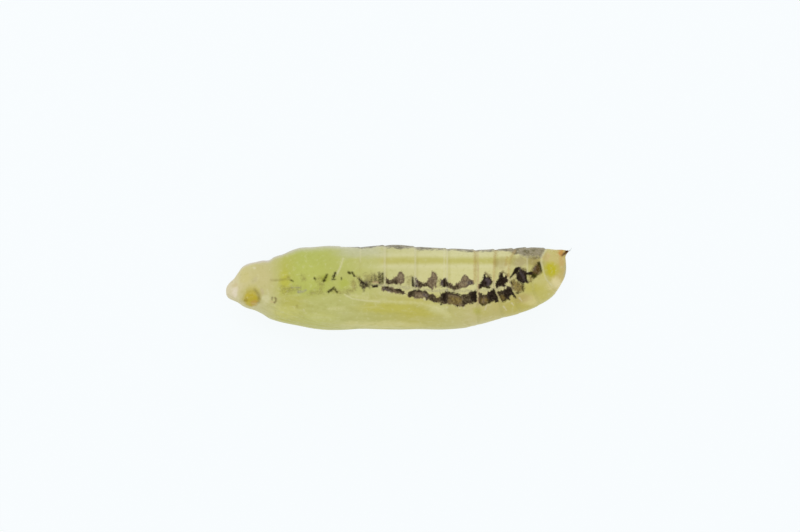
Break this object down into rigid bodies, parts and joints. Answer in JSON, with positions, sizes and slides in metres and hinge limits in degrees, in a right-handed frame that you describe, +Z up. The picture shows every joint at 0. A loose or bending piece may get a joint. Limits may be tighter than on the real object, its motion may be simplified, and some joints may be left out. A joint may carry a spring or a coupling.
{
  "type": "moth pupa",
  "caption": "Green moth pupa lying on its side, with blunt head, eye domes, wing and leg cases, ringed abdomen and a small hooked cremaster.",
  "frame": {"origin": "on the surface the pupa lies on, under the centre of its bounding box", "axes": "+X from head to tail, +Y towards the pupa's back, +Z up, out of its left side"},
  "size_m": [0.0204, 0.005, 0.0048],
  "materials": {
    "pupa_skin": "satin"
  },
  "bodies": {
    "root": {"pupa": "pupa_skin"}
  },
  "joints": []
}
